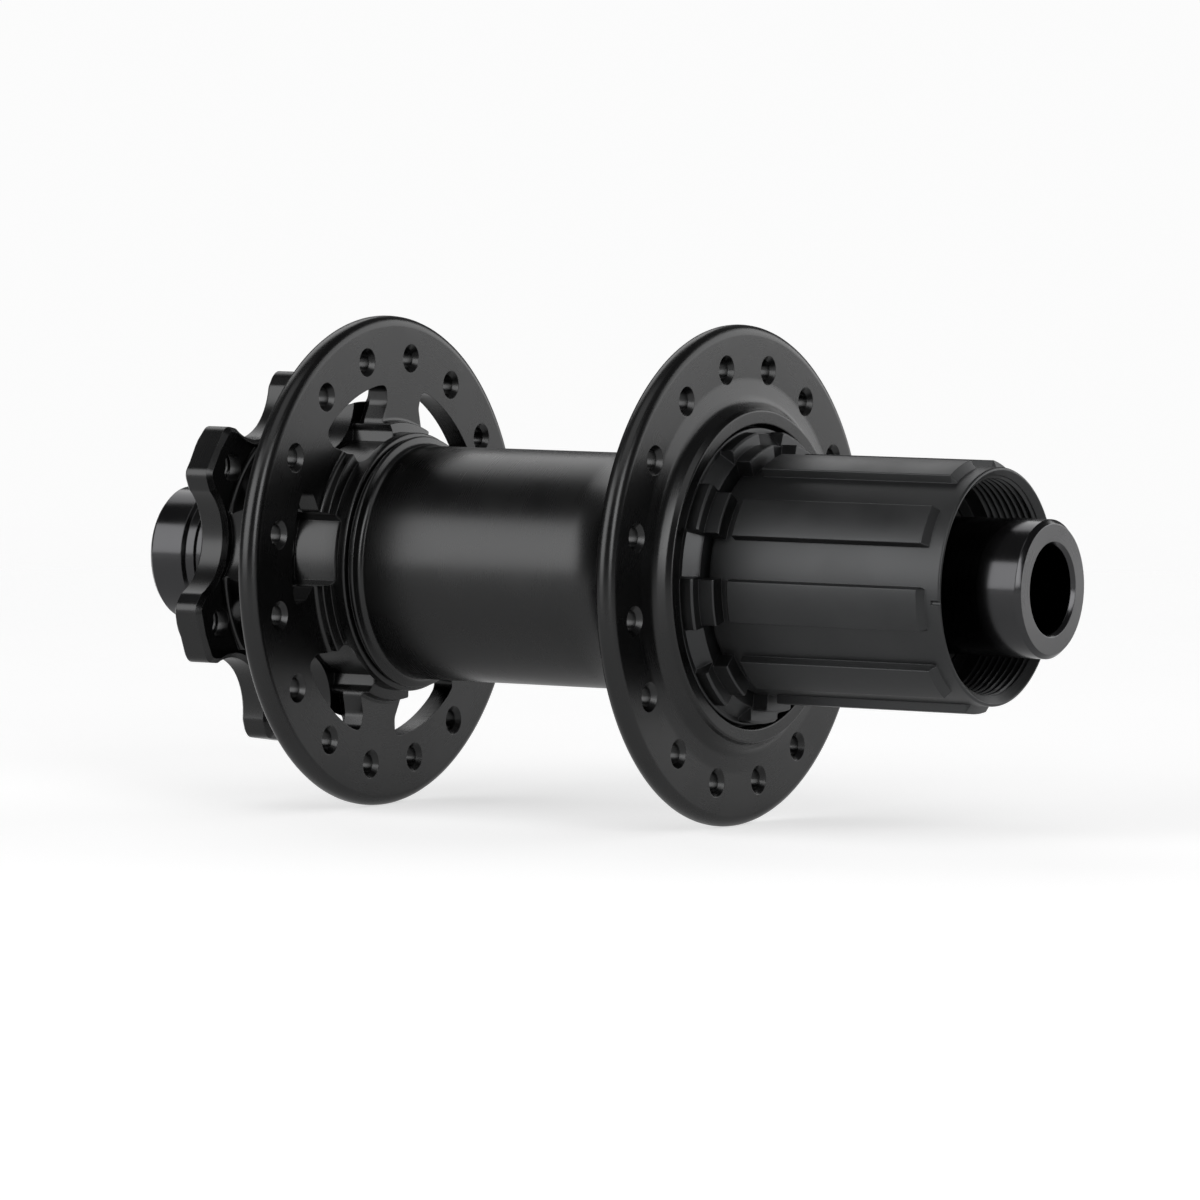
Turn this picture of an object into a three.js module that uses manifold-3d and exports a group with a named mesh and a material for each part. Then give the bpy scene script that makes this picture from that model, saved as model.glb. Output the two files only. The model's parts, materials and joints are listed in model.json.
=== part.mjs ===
// Rear bicycle hub for six-bolt disc brakes: 12 mm thru-axle, 142 mm between the dropout faces.
// Millimetres. The hub turns about Y, with its middle at the origin: the drive side is -Y, the
// disc side is +Y, forward is +X and up is +Z. An angle is measured in XZ, from +X towards +Z.

import * as THREE from "three";
import { mergeVertices } from "three/addons/utils/BufferGeometryUtils.js";
import Module from "manifold-3d";

// ---- Driving dimensions ----------------------------------------------------------------------

const OVER_LOCKNUT = 142; // dropout face to dropout face
const THRU_AXLE_BORE = 12.1; // through each end cap
const END_CAP_OD = 19;
const AXLE_OD = 15;
const AXLE_BORE = 12.6;
const AXLE_LENGTH = 120;
const AXLE_SHOULDER_OD = 18; // the middle of the axle, between the two shell bearings

const FLANGE_OD = 69.5;
const SPOKE_CIRCLE = 58;
const SPOKE_HOLE = 2.8;
const SPOKES_PER_FLANGE = 16;
const DRIVE_FLANGE = { outer: -22.2, inner: -19.1, holeAngle: 9 }; // y of its faces
const DISC_FLANGE = { inner: 35.8, outer: 39.1, holeAngle: 12.25 };
const BARREL_R = 16.4;
const BOSS_FACE_Y = -24.7; // ring around the mouth of the ratchet cavity
const BOSS_OUTER_R = 23;
const BOSS_BORE_R = 21.1;
const BEAD_Y = 30.4; // where the barrel steps up to the disc-side collar

const LUGS = 6;
const LUG_ANGLE = 22; // of the first disc bolt
const DISC_BOLT_CIRCLE = 44;
const DISC_BOLT_HOLE = 4.2; // tapping drill of M5
const LUG_R = 26.4;
const ROTOR_FACE_Y = 55.6;
const LUG_THICKNESS = 4.4;
const ROTOR_SPIGOT = { r: 16.75, height: 1.4 };
const SCALLOP_FLOOR_R = 19.2; // between the lugs
const VALLEY_FLOOR_R = 17.6; // between the arms that stand behind them
const WINDOW_OUTER_R = 25.2;
const WINDOW_START_Y = 33.0; // the flange's windows run back into the collar to here

const RATCHET_TEETH = 36;
const RATCHET_ROOT_R = 16.9;
const RATCHET_TIP_R = 16.0;
const DRIVE_FACE_RAKE = 1.25; // degrees by which a tooth's tip lies behind the root of its drive face
const PAWL_ROOM = 0.3; // degrees between an engaged pawl and the drive face
const RATCHET_RING = { outer: 18.55, from: -20.5, to: -14.6 };
const PAWLS = 3;
const PAWL_PIVOT_R = 14.2;
const PAWL_HEEL_R = 1.1;
const PAWL_TIP = { along: 5.6, rise: 1.4 }; // from the pivot, when it is engaged
const PAWL_FOLD = 12; // degrees from engaged to folded under the tooth tips
const PAWL_ANGLE = 90; // of the first pivot
const PAWL_SPAN = { from: -19.6, to: -15.4 };
const CARRIER_R = 15.6;

const SPLINES = 9;
const SPLINE_ANGLE = 27.8; // middle of the first ridge
const SPLINE_WIDTH = 20; // degrees of a ridge
const KEY_SPLINE = { index: 7, extra: 5 }; // the one wider ridge that keys the cassette
const SPLINE_R = 17.45;
const SPLINE_ROOT_R = 16.3;
const SPLINE_FROM = -29.9;
const SPLINE_TO = -59.6;
const FREEHUB_END_Y = -62.6;
const LOCKRING_THREAD_R = 15.3;
const BASE_LOBE_R = 20.3;
const BASE_NOTCH_R = 18.7;

// Deep-groove bearings, by their standard sizes: bore x outside diameter x width.
const SHELL_BEARING = { bore: 15, outside: 28, width: 7, race: 1.85, ball: 3.5, balls: 10 };
const FREEHUB_BEARING = { bore: 15, outside: 24, width: 5, race: 1.4, ball: 2.5, balls: 10 };
const BEARING_Y = { shellRight: -9.8, shellLeft: 51.5, hubInner: -29.5, hubOuter: -46.4 };

const FIT = 0.08; // radial room between pieces that are pressed or slid together
const STACK_GAP = 0.1; // axial room between pieces that are clamped end to end
const RUNNING_GAP = 0.3; // room between pieces that turn against each other
const FACETS = 36;
const SMALL_FACETS = 20;

// ---- Materials -------------------------------------------------------------------------------

function finish(color, roughness, metalness) {
  return { color, roughness, metalness };
}
const BLACK_ANODISED = finish(0x17181a, 0.32, 0.9);
const SATIN_ANODISED = finish(0x222325, 0.5, 0.85);
const BEARING_STEEL = finish(0xb4b7ba, 0.25, 1);
const HARD_STEEL = finish(0x6f7173, 0.4, 1);
const SPRING_STEEL = finish(0x8a8c8e, 0.35, 1);
const NYLON = finish(0xc9c2ae, 0.6, 0);
const RUBBER = finish(0x111111, 0.85, 0);

// ---- Geometry helpers ------------------------------------------------------------------------

const wasm = await Module();
wasm.setup();

const radians = THREE.MathUtils.degToRad;

// The point at a radius and an angle in the plane across the axle.
function polar(radius, degrees) {
  return [radius * Math.cos(radians(degrees)), radius * Math.sin(radians(degrees))];
}

// Points along an arc, both ends included.
function arc(centre, radius, from, to, steps) {
  return Array.from({ length: steps + 1 }, (_, i) => {
    const [a, b] = polar(radius, from + ((to - from) * i) / steps);
    return [centre[0] + a, centre[1] + b];
  });
}

function anticlockwise(outline) {
  const points = outline.map(([a, b]) => new THREE.Vector2(a, b));
  return THREE.ShapeUtils.area(points) > 0 ? points : points.reverse();
}

// A solid of revolution about Y, from a closed outline of [radius, y] points.
function turned(outline, facets = FACETS) {
  const loop = anticlockwise(outline);
  return new THREE.LatheGeometry([...loop, loop[0]], facets, Math.PI / facets);
}

// A plain ring between two radii and two heights.
function ring(inner, outer, from, to, facets = SMALL_FACETS) {
  return turned([[inner, from], [outer, from], [outer, to], [inner, to]], facets);
}

// A prism along Y whose section is a closed outline of [x, z] points.
function prism(outline, from, to) {
  const shape = new THREE.Shape(anticlockwise(outline));
  const geometry = new THREE.ExtrudeGeometry(shape, { depth: to - from, bevelEnabled: false });
  return geometry.rotateX(Math.PI / 2).translate(0, to, 0);
}

// The same prism turned about the hub axis, so that its +Z comes to stand at an angle.
function prismAt(outline, from, to, degrees) {
  return prism(outline, from, to).rotateY(radians(90 - degrees));
}

// A round cutter along Y, with its axis at a radius and an angle.
function drill(diameter, from, to, radius, degrees, sides = 8) {
  const [x, z] = polar(radius, degrees);
  const cylinder = new THREE.CylinderGeometry(diameter / 2, diameter / 2, to - from, sides);
  return cylinder.translate(x, (from + to) / 2, z);
}

function manifoldOf(geometry) {
  const bare = geometry.clone();
  bare.deleteAttribute("normal");
  bare.deleteAttribute("uv");
  const merged = mergeVertices(bare, 1e-4);
  const corners = merged.index.array;
  const kept = [];
  for (let i = 0; i < corners.length; i += 3) {
    const [a, b, c] = corners.slice(i, i + 3);
    if (a !== b && b !== c && a !== c) kept.push(a, b, c);
  }
  return new wasm.Manifold(
    new wasm.Mesh({
      numProp: 3,
      vertProperties: merged.attributes.position.array,
      triVerts: new Uint32Array(kept),
    }),
  );
}

function geometryOf(manifold) {
  const mesh = manifold.getMesh();
  return new THREE.BufferGeometry()
    .setAttribute("position", new THREE.BufferAttribute(new Float32Array(mesh.vertProperties), 3))
    .setIndex(new THREE.BufferAttribute(new Uint32Array(mesh.triVerts), 1));
}

// A geometry with others joined to it and others cut from it.
function carved(base, { joined = [], cut = [] }) {
  let made = manifoldOf(base);
  for (const piece of joined) made = made.add(manifoldOf(piece));
  for (const piece of cut) made = made.subtract(manifoldOf(piece));
  return geometryOf(made);
}

const hub = new THREE.Group();

function add(name, geometry, looks) {
  if (!geometry.getAttribute("normal")) geometry.computeVertexNormals();
  const mesh = new THREE.Mesh(geometry, new THREE.MeshStandardMaterial(looks));
  mesh.name = name;
  hub.add(mesh);
}

function timesAround(count, first, make) {
  return Array.from({ length: count }, (_, i) => make(first + (360 / count) * i, i));
}

// ---- Hub shell -------------------------------------------------------------------------------

const FLANGE_R = FLANGE_OD / 2;
const RIM_EASE = 0.8; // rounding of the flange rims
const LUG_BACK_Y = ROTOR_FACE_Y - LUG_THICKNESS;
const SPIGOT_END_Y = ROTOR_FACE_Y + ROTOR_SPIGOT.height;

// The outside of the shell, from the mouth of the ratchet cavity to the rotor spigot.
function shellOutside() {
  return [
    [BOSS_OUTER_R, BOSS_FACE_Y],
    [BOSS_OUTER_R + 0.3, BOSS_FACE_Y + 0.9],
    [BOSS_OUTER_R + 1.5, DRIVE_FLANGE.outer - 0.3],
    [BOSS_OUTER_R + 4, DRIVE_FLANGE.outer],
    [FLANGE_R - RIM_EASE, DRIVE_FLANGE.outer],
    [FLANGE_R, DRIVE_FLANGE.outer + RIM_EASE],
    [FLANGE_R, DRIVE_FLANGE.inner - RIM_EASE],
    [FLANGE_R - RIM_EASE, DRIVE_FLANGE.inner],
    [26, DRIVE_FLANGE.inner],
    [22.4, -16.8],
    [18.9, -12.2],
    [BARREL_R, -7.6],
    [BARREL_R, BEAD_Y],
    [17.8, BEAD_Y + 0.4],
    [18.2, BEAD_Y + 1.4],
    [18.3, 34.1],
    [19.7, 34.5],
    [20.3, DISC_FLANGE.inner],
    [FLANGE_R - RIM_EASE, DISC_FLANGE.inner],
    [FLANGE_R, DISC_FLANGE.inner + RIM_EASE],
    [FLANGE_R, DISC_FLANGE.outer - RIM_EASE],
    [FLANGE_R - RIM_EASE, DISC_FLANGE.outer],
    [26.8, DISC_FLANGE.outer],
    [23.6, 40.2],
    [21.9, 42.8],
    [19.4, LUG_BACK_Y],
    [LUG_R, LUG_BACK_Y],
    [LUG_R, ROTOR_FACE_Y],
    [ROTOR_SPIGOT.r, ROTOR_FACE_Y],
    [ROTOR_SPIGOT.r, SPIGOT_END_Y],
  ];
}

const SHELL_SEAT_R = SHELL_BEARING.outside / 2 + FIT;
const SHELL_BORE_R = 13;
const COVER_SEAT_R = 15.2;

// The inside, from the rotor spigot back to the mouth of the ratchet cavity.
function shellInside() {
  const half = SHELL_BEARING.width / 2 + STACK_GAP;
  return [
    [COVER_SEAT_R, SPIGOT_END_Y],
    [COVER_SEAT_R, BEARING_Y.shellLeft + half + 0.1],
    [SHELL_SEAT_R, BEARING_Y.shellLeft + half + 0.1],
    [SHELL_SEAT_R, BEARING_Y.shellLeft - half],
    [SHELL_BORE_R, BEARING_Y.shellLeft - half],
    [SHELL_BORE_R, BEARING_Y.shellRight + half],
    [SHELL_SEAT_R, BEARING_Y.shellRight + half],
    [SHELL_SEAT_R, RATCHET_RING.to + STACK_GAP],
    [RATCHET_RING.outer + FIT, RATCHET_RING.to + STACK_GAP],
    [RATCHET_RING.outer + FIT, RATCHET_RING.from - STACK_GAP],
    [BOSS_BORE_R, RATCHET_RING.from - STACK_GAP],
    [BOSS_BORE_R, BOSS_FACE_Y],
  ];
}

// Half-way between two lugs: a scallop that is open outwards, with +Z along its middle.
function valleyOutline(floorR) {
  const lugSide = [5.4, 24.0];
  const lugCorner = [3.6, LUG_R - 0.1];
  const turnedHalfPitch = ([a, b], sign) => {
    const radius = Math.hypot(a, b);
    const fromLug = THREE.MathUtils.radToDeg(Math.atan2(a, b));
    const [z, x] = polar(radius, 180 / LUGS - fromLug);
    return [sign * x, z];
  };
  const side = turnedHalfPitch(lugSide, 1);
  const depth = side[1] - floorR;
  const scallopR = (side[0] ** 2 + depth ** 2) / (2 * depth);
  const centre = [0, floorR + scallopR];
  const sweep = THREE.MathUtils.radToDeg(Math.asin(side[0] / scallopR));
  const corner = turnedHalfPitch(lugCorner, 1);
  const outside = [corner[0] + 2, corner[1] + 3.5]; // clear of the lug's tip
  return [
    outside,
    corner,
    ...arc(centre, scallopR, 270 + sweep, 270 - sweep, 6),
    [-corner[0], corner[1]],
    [-outside[0], outside[1]],
  ];
}

// The pocket milled on through the flange and the collar: waisted arms are left between them.
function windowOutline() {
  const rightSide = [
    [4.3, 17.0],
    [5.2, 17.8],
    [5.3, 19.4],
    [7.1, 21.2],
    [7.7, 22.7],
  ];
  const topCorner = THREE.MathUtils.radToDeg(Math.atan2(6.4, 24.4));
  return [
    ...rightSide,
    ...arc([0, 0], WINDOW_OUTER_R, 90 - topCorner, 90 + topCorner, 4),
    ...rightSide.map(([x, z]) => [-x, z]).reverse(),
  ];
}

function hubShell() {
  const body = turned([...shellOutside(), ...shellInside()]);
  const valleyAngle = LUG_ANGLE + 180 / LUGS;
  const past = 2; // how far a cutter runs past the face it cuts through
  const cut = [
    ...timesAround(LUGS, valleyAngle, (angle) =>
      prismAt(valleyOutline(VALLEY_FLOOR_R), DISC_FLANGE.outer + 0.25, LUG_BACK_Y, angle),
    ),
    ...timesAround(LUGS, valleyAngle, (angle) =>
      prismAt(valleyOutline(SCALLOP_FLOOR_R), LUG_BACK_Y - 0.05, ROTOR_FACE_Y + past, angle),
    ),
    ...timesAround(LUGS, valleyAngle, (angle) =>
      prismAt(windowOutline(), WINDOW_START_Y, DISC_FLANGE.outer + past, angle),
    ),
    ...timesAround(LUGS, LUG_ANGLE, (angle) =>
      drill(DISC_BOLT_HOLE, LUG_BACK_Y - 0.5, ROTOR_FACE_Y + past, DISC_BOLT_CIRCLE / 2, angle, 10),
    ),
  ];
  for (const flange of [DRIVE_FLANGE, DISC_FLANGE]) {
    const low = Math.min(flange.inner, flange.outer) - past;
    const high = Math.max(flange.inner, flange.outer) + past;
    cut.push(
      ...timesAround(SPOKES_PER_FLANGE, flange.holeAngle, (angle) =>
        drill(SPOKE_HOLE, low, high, SPOKE_CIRCLE / 2, angle),
      ),
    );
  }
  add("hub_shell", carved(body, { cut }), BLACK_ANODISED);
}

// ---- Ratchet ---------------------------------------------------------------------------------

const toothPitch = 360 / RATCHET_TEETH;
const pawlReach = THREE.MathUtils.radToDeg(
  Math.atan2(PAWL_TIP.along, PAWL_PIVOT_R + PAWL_TIP.rise),
);
const driveFaceAngle = PAWL_ANGLE - pawlReach - PAWL_ROOM; // just ahead of the engaged pawl tip

// The toothed ring pressed into the shell. Each drive face looks back at the pawls.
function driveRing() {
  const teeth = timesAround(RATCHET_TEETH, driveFaceAngle, (angle) => [
    polar(RATCHET_ROOT_R, angle),
    polar(RATCHET_TIP_R, angle + toothPitch - DRIVE_FACE_RAKE),
  ]).flat();
  const { outer, from, to } = RATCHET_RING;
  const blank = ring(RATCHET_TIP_R / 2, outer, from, to, FACETS);
  const past = 1;
  const bore = prism(teeth, from - past, to + past);
  add("drive_ring", carved(blank, { cut: [bore] }), HARD_STEEL);
}

// A pawl points ahead of its pivot, towards smaller angles. Here +X is ahead and +Z is outwards.
function pawlOutline() {
  return [
    ...arc([0, PAWL_PIVOT_R], PAWL_HEEL_R, 90, 270, 6),
    [PAWL_TIP.along - 0.15, PAWL_PIVOT_R + 0.15],
    [PAWL_TIP.along, PAWL_PIVOT_R + PAWL_TIP.rise],
    [3, PAWL_PIVOT_R + 1.2],
  ];
}

function pocketOutline() {
  const room = 0.2;
  const heel = PAWL_HEEL_R + room;
  return [
    [-heel, CARRIER_R + 1],
    ...arc([0, PAWL_PIVOT_R], heel, 180, 270, 3),
    [1.2, 12.3],
    [6.2, 12.3],
    [6.6, 13],
    [6.6, CARRIER_R + 1],
  ];
}

function leafOutline() {
  return [
    [1.5, 12.35],
    [4.2, 12.35],
    [6.1, 12.7],
    [6.05, 12.95],
    [4.1, 12.6],
    [1.5, 12.6],
  ];
}

// The pawls are drawn folded, as they lie when the hub overruns the cassette.
function pawls() {
  timesAround(PAWLS, PAWL_ANGLE, (angle, i) => {
    const flat = prism(pawlOutline(), PAWL_SPAN.from, PAWL_SPAN.to);
    const folded = flat
      .translate(0, 0, -PAWL_PIVOT_R)
      .rotateY(radians(PAWL_FOLD))
      .translate(0, 0, PAWL_PIVOT_R)
      .rotateY(radians(90 - angle));
    add(`pawl_${i + 1}`, folded, HARD_STEEL);
    const leaf = prismAt(leafOutline(), PAWL_SPAN.from + 0.6, PAWL_SPAN.to - 0.6, angle);
    add(`pawl_spring_${i + 1}`, leaf, SPRING_STEEL);
  });
}

// ---- Freehub body ----------------------------------------------------------------------------

// An outline of nine lobes over a round. The lobes' flanks run down to the root radius.
function lobed(lobeR, rootR) {
  return timesAround(SPLINES, SPLINE_ANGLE, (angle, i) => {
    const half = (SPLINE_WIDTH + (i === KEY_SPLINE.index ? KEY_SPLINE.extra : 0)) / 2;
    return [
      polar(rootR, angle - half),
      ...[-half, 0, half].map((a) => polar(lobeR, angle + a)),
      polar(rootR, angle + half),
      polar(rootR, angle + 180 / SPLINES),
    ];
  }).flat();
}

const HUB_SEAT_R = FREEHUB_BEARING.outside / 2 + FIT;
const HUB_BORE_R = 10.4;
const END_SEAL_SEAT_R = 12.25;
const HUB_SEAT_END_Y = BEARING_Y.hubInner + FREEHUB_BEARING.width / 2 + STACK_GAP;
const CIRCLIP = { r: 12.75, from: -50.2, to: -49.4, room: 0.1 };
const CARRIER_END_Y = -14.8;
const BASE_INNER_Y = -22.6;
const BASE_LOBES = { from: -26.2, to: -24.2 };
const STEP_LOBES = { r: 18.6, from: -28.5, to: -26.2 };

function freehubOutside() {
  return turned([
    [0, CARRIER_END_Y],
    [CARRIER_R, CARRIER_END_Y],
    [CARRIER_R, BASE_INNER_Y],
    [BASE_LOBE_R, BASE_INNER_Y],
    [BASE_LOBE_R, BASE_LOBES.to],
    [SPLINE_ROOT_R, BASE_LOBES.to],
    [SPLINE_ROOT_R, FREEHUB_END_Y + 0.4],
    [SPLINE_ROOT_R - 0.3, FREEHUB_END_Y],
    [0, FREEHUB_END_Y],
  ]);
}

function freehubBore() {
  const past = 1;
  return turned([
    [0, CARRIER_END_Y + past],
    [HUB_BORE_R, CARRIER_END_Y + past],
    [HUB_BORE_R, HUB_SEAT_END_Y],
    [HUB_SEAT_R, HUB_SEAT_END_Y],
    [HUB_SEAT_R, CIRCLIP.to + CIRCLIP.room],
    [CIRCLIP.r + FIT, CIRCLIP.to + CIRCLIP.room],
    [CIRCLIP.r + FIT, CIRCLIP.from - CIRCLIP.room],
    [END_SEAL_SEAT_R, CIRCLIP.from - CIRCLIP.room],
    [END_SEAL_SEAT_R, -52.4],
    [14.2, -52.4],
    [LOCKRING_THREAD_R, -53.8],
    [LOCKRING_THREAD_R, FREEHUB_END_Y + 0.5],
    [LOCKRING_THREAD_R + 0.5 + past, FREEHUB_END_Y - past],
    [0, FREEHUB_END_Y - past],
  ]);
}

function freehubBody() {
  const sunk = SPLINE_ROOT_R - 0.5; // flanks start inside the round that they stand on
  const joined = [
    prism(lobed(BASE_LOBE_R, BASE_NOTCH_R), BASE_LOBES.from, BASE_LOBES.to + 0.2),
    prism(lobed(STEP_LOBES.r, sunk), STEP_LOBES.from, STEP_LOBES.to + 0.2),
    prism(lobed(SPLINE_R, sunk), SPLINE_TO, SPLINE_FROM),
    prism(lobed(SPLINE_R - 0.7, sunk), SPLINE_TO - 0.7, SPLINE_TO + 0.2),
  ];
  const pockets = timesAround(PAWLS, PAWL_ANGLE, (angle) =>
    prismAt(pocketOutline(), PAWL_SPAN.from - RUNNING_GAP, PAWL_SPAN.to + RUNNING_GAP, angle),
  );
  const body = carved(freehubOutside(), { joined, cut: [freehubBore(), ...pockets] });
  add("freehub_body", body, SATIN_ANODISED);
}

// ---- Bearings --------------------------------------------------------------------------------

// Each race has a groove, and the balls are held in one nylon cage, which turns as one piece.
function bearing(name, spec, y) {
  const half = spec.width / 2;
  const ballR = spec.ball / 2;
  const pitchR = (spec.bore + spec.outside) / 4;
  const innerRaceR = spec.bore / 2 + spec.race;
  const outerRaceR = spec.outside / 2 - spec.race;
  const groove = ballR + 0.22;
  const grooveTop = 0.86 * ballR;
  const grooveFloor = 0.5 * ballR;
  const race = (boreR, faceR, grooveR) =>
    turned(
      [
        [boreR, y - half],
        [faceR, y - half],
        [faceR, y - grooveTop],
        [grooveR, y - grooveFloor],
        [grooveR, y + grooveFloor],
        [faceR, y + grooveTop],
        [faceR, y + half],
        [boreR, y + half],
      ],
      SMALL_FACETS,
    );
  add(`${name}_inner_race`, race(spec.bore / 2 + FIT, innerRaceR, pitchR - groove), BEARING_STEEL);
  add(`${name}_outer_race`, race(spec.outside / 2, outerRaceR, pitchR + groove), BEARING_STEEL);

  const cageHalf = 0.28 * spec.ball;
  const cage = ring(pitchR - cageHalf / 2, pitchR + cageHalf / 2, y - cageHalf, y + cageHalf);
  const balls = timesAround(spec.balls, 0, (angle) => {
    const [x, z] = polar(pitchR, angle);
    return new THREE.SphereGeometry(ballR, 5, 3).translate(x, y, z);
  });
  add(`${name}_ball_cage`, carved(cage, { joined: balls }), NYLON);

  for (const [side, sign] of [["disc_side", 1], ["drive_side", -1]]) {
    const faces = [y + sign * (half - 0.6), y + sign * (half - 0.1)];
    const seal = ring(innerRaceR + 0.2, outerRaceR - FIT, Math.min(...faces), Math.max(...faces));
    add(`${name}_seal_${side}`, seal, RUBBER);
  }
}

function bearings() {
  bearing("shell_bearing_right", SHELL_BEARING, BEARING_Y.shellRight);
  bearing("shell_bearing_left", SHELL_BEARING, BEARING_Y.shellLeft);
  bearing("freehub_bearing_inner", FREEHUB_BEARING, BEARING_Y.hubInner);
  bearing("freehub_bearing_outer", FREEHUB_BEARING, BEARING_Y.hubOuter);
}

// ---- Axle, spacers and end caps --------------------------------------------------------------

const AXLE_R = AXLE_OD / 2;
const SPACER_R = 9;
const CAP_R = END_CAP_OD / 2;
const FACE_Y = OVER_LOCKNUT / 2;

function axle() {
  const end = AXLE_LENGTH / 2;
  const half = SHELL_BEARING.width / 2;
  const shoulders = [BEARING_Y.shellRight + half + STACK_GAP, BEARING_Y.shellLeft - half - STACK_GAP];
  const shoulderR = AXLE_SHOULDER_OD / 2;
  const tube = turned(
    [
      [AXLE_BORE / 2, -end],
      [AXLE_R, -end],
      [AXLE_R, shoulders[0]],
      [shoulderR, shoulders[0]],
      [shoulderR, shoulders[1]],
      [AXLE_R, shoulders[1]],
      [AXLE_R, end],
      [AXLE_BORE / 2, end],
    ],
    SMALL_FACETS,
  );
  add("axle", tube, SATIN_ANODISED);
}

// The stack of sleeves that carries the end caps' clamping force from race to race.
function spacers() {
  const shellHalf = SHELL_BEARING.width / 2 + STACK_GAP;
  const hubHalf = FREEHUB_BEARING.width / 2 + STACK_GAP;
  const { shellRight, hubInner, hubOuter } = BEARING_Y;
  const sleeve = (from, to) => ring(AXLE_R + FIT, SPACER_R, from, to);
  add("axle_spacer", sleeve(hubInner + hubHalf, shellRight - shellHalf), SATIN_ANODISED);
  add("freehub_inner_race_spacer", sleeve(hubOuter + hubHalf, hubInner - hubHalf), SATIN_ANODISED);
  const tube = ring(11, FREEHUB_BEARING.outside / 2, hubOuter + hubHalf, hubInner - hubHalf);
  add("freehub_outer_race_spacer", tube, SATIN_ANODISED);
}

const CAP_GROOVE = { from: 5.8, to: 6.4, depth: 0.4 }; // decorative line on the disc-side cap
const O_RING = { from: 12.2, to: 13.8, seatR: 8.35, section: 0.38 };
const COUNTERBORE_DEPTH = FACE_Y - AXLE_LENGTH / 2 - 0.3;

// An outline is given as [radius, distance in from the dropout face].
function endCap(name, side, bearingFaceY, grooved) {
  const length = FACE_Y - Math.abs(bearingFaceY) - STACK_GAP;
  const boreR = THRU_AXLE_BORE / 2;
  const seatR = AXLE_R + FIT;
  const line = grooved
    ? [
        [CAP_R, CAP_GROOVE.from],
        [CAP_R - CAP_GROOVE.depth, CAP_GROOVE.from + 0.1],
        [CAP_R - CAP_GROOVE.depth, CAP_GROOVE.to - 0.1],
        [CAP_R, CAP_GROOVE.to],
      ]
    : [];
  const outline = [
    [boreR + 0.6, 0],
    [CAP_R - 0.4, 0],
    [CAP_R, 0.4],
    ...line,
    [CAP_R, length],
    [seatR, length],
    [seatR, O_RING.to],
    [O_RING.seatR, O_RING.to],
    [O_RING.seatR, O_RING.from],
    [seatR, O_RING.from],
    [seatR, COUNTERBORE_DEPTH],
    [boreR, COUNTERBORE_DEPTH],
    [boreR, 0.6],
  ];
  const place = ([r, depth]) => [r, side * (FACE_Y - depth)];
  add(`end_cap_${name}`, turned(outline.map(place), 24), BLACK_ANODISED);
  const middle = [(AXLE_R + O_RING.seatR) / 2 + 0.02, side * (FACE_Y - (O_RING.from + O_RING.to) / 2)];
  const section = arc(middle, O_RING.section, 0, 300, 5);
  add(`end_cap_o_ring_${name}`, turned(section, SMALL_FACETS), RUBBER);
}

function endCaps() {
  endCap("left", 1, BEARING_Y.shellLeft + SHELL_BEARING.width / 2, true);
  endCap("right", -1, BEARING_Y.hubOuter - FREEHUB_BEARING.width / 2, false);
}

// ---- Seals and retainers ---------------------------------------------------------------------

function sealsAndRetainers() {
  const cover = ring(CAP_R + 0.4, COVER_SEAT_R - FIT, 55.3, SPIGOT_END_Y - 0.2, FACETS);
  add("left_dust_cover", cover, BLACK_ANODISED);

  const lip = ring(CARRIER_R + RUNNING_GAP, BOSS_BORE_R - FIT, -22.1, -20.8, FACETS);
  add("freehub_lip_seal", lip, RUBBER);

  const split = prismAt([[-3, 9], [3, 9], [3, 14], [-3, 14]], CIRCLIP.from - 1, CIRCLIP.to + 1, 270);
  const circlip = ring(10.9, CIRCLIP.r, CIRCLIP.from, CIRCLIP.to);
  add("bearing_circlip", carved(circlip, { cut: [split] }), SPRING_STEEL);

  const endSeal = ring(CAP_R + RUNNING_GAP, END_SEAL_SEAT_R - FIT, -52.2, CIRCLIP.from - 0.4);
  add("freehub_end_seal", endSeal, RUBBER);
}

// ---- Assembly --------------------------------------------------------------------------------

hubShell();
driveRing();
pawls();
freehubBody();
bearings();
axle();
spacers();
endCaps();
sealsAndRetainers();

export default hub;
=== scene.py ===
"""Fine surfaces, finishes and studio for a rear bicycle hub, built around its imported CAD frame.

The hub turns about Y: the drive side is -Y and the disc side +Y. Outlines are in millimetres and
become metres when a mesh is made. An angle is measured in XZ, from +X towards +Z, in degrees.
"""

import json
import math

import bmesh
import bpy
from mathutils import Matrix, Vector


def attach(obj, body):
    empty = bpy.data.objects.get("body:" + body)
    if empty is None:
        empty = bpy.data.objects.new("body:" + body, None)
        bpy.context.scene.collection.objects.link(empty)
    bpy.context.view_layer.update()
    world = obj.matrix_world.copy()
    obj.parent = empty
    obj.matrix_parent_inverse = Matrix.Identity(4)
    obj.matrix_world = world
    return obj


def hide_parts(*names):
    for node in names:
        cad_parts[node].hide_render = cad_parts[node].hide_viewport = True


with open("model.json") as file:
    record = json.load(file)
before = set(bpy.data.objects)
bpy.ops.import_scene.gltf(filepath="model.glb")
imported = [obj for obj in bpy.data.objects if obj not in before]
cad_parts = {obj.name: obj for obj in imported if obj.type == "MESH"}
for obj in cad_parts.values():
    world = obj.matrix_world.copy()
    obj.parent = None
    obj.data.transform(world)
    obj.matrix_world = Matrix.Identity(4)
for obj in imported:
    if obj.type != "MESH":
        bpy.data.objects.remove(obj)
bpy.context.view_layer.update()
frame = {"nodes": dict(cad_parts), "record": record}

MM = 0.001
FINE = 256  # facets round the large turned surfaces
MEDIUM = 128
SHARP_EDGE = 32  # degrees between faces, above which an edge stays crisp
PAST = 1.0  # how far a cutter runs past the face that it opens
FIT = 0.08  # radial room between pieces that are pressed or slid together
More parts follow.
